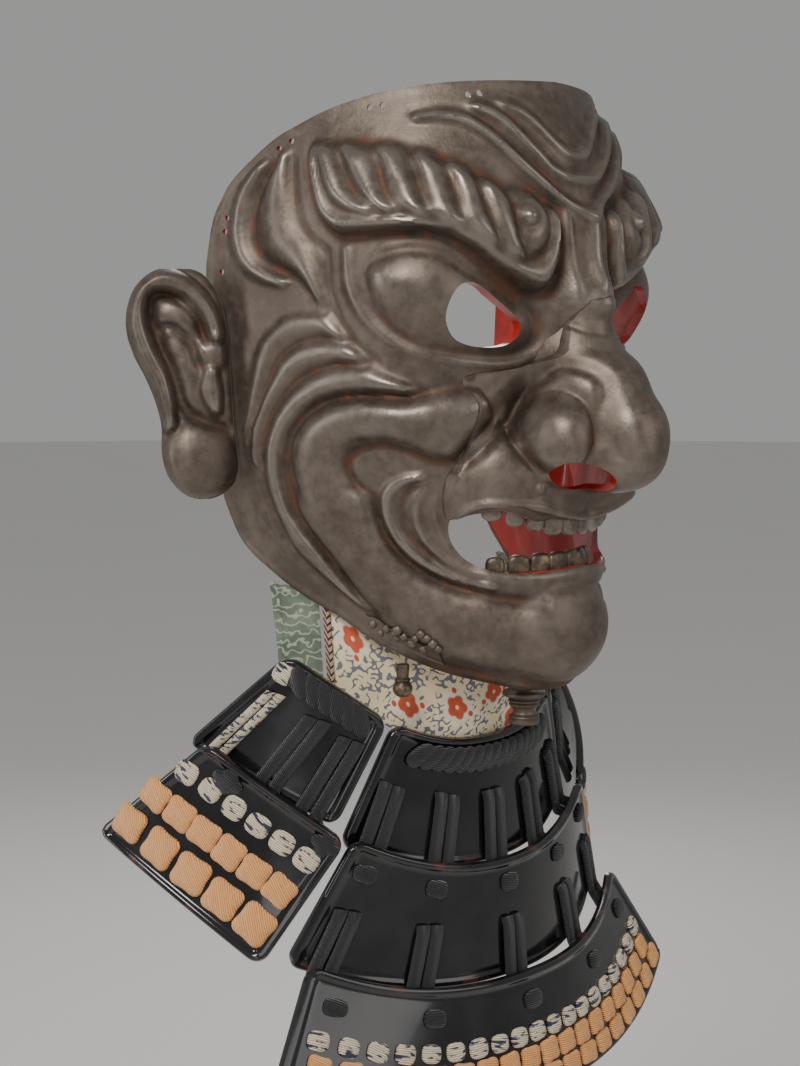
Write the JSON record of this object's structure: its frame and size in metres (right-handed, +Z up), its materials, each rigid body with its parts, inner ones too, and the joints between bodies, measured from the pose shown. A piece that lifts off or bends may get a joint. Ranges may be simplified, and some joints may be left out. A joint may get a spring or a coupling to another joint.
{
  "type": "armour face guard",
  "caption": "Iron full-face guard with sculpted folds, open eyes and mouth, ears, and a hanging throat guard of lacquered lames on silk laces.",
  "frame": {"origin": "on the upright axis of the wearer's head, level with the eye openings", "axes": "+Z up, the face looks along -Y, the wearer's left side is towards +X"},
  "size_m": [0.2444, 0.1772, 0.3873],
  "materials": {
    "russet_iron": "hammered iron with a dark russet patina, satin, rubbed bright on the high ridges",
    "red_lacquer": "red lacquer inside the face and on the cut edges",
    "teeth_iron": "dull grey brown metal teeth",
    "teeth_gilt": "dark teeth with worn gilding between them",
    "bronze": "aged bronze, rubbed",
    "black_lacquer": "black lacquer over hide and iron, deep gloss",
    "black_silk": "charcoal silk braid, matt",
    "mottled_silk": "braid of cream and dark blue silk, mottled",
    "peach_silk": "peach coloured flat silk braid",
    "printed_leather": "cream printed leather with blue grey commas and red flowers",
    "green_leather": "green dyed leather with a pale line pattern",
    "cord_piping": "cream and dark red twisted edge cord"
  },
  "bodies": {
    "root": {"face_plate": "russet_iron", "nose_plate": "russet_iron", "upper_teeth": "teeth_iron", "lower_teeth": "teeth_gilt", "sweat_drain": "russet_iron", "ear_right": "russet_iron", "peg_plate_right": "russet_iron", "cord_peg_right": "bronze", "leather_tab_right": "green_leather", "ear_left": "russet_iron", "peg_plate_left": "russet_iron", "cord_peg_left": "bronze", "leather_tab_left": "green_leather", "neck_band": "printed_leather", "lame1_centre": "black_lacquer", "lame2_centre": "black_lacquer", "lame3_centre": "black_lacquer", "lace1_1": "black_silk", "lace2_1": "black_silk", "lace1_2": "black_silk", "lace2_2": "black_silk", "lace1_3": "black_silk", "lace2_3": "black_silk", "lace1_4": "black_silk", "lace2_4": "black_silk", "lace1_5": "black_silk", "lace2_5": "black_silk", "lame1_right": "black_lacquer", "lame2_right": "black_lacquer", "lace_right_1": "black_silk", "lace_right_2": "black_silk", "lace_right_3": "mottled_silk", "lame1_left": "black_lacquer", "lame2_left": "black_lacquer", "lace_left_1": "black_silk", "lace_left_2": "black_silk", "lace_left_3": "mottled_silk"}
  },
  "joints": []
}
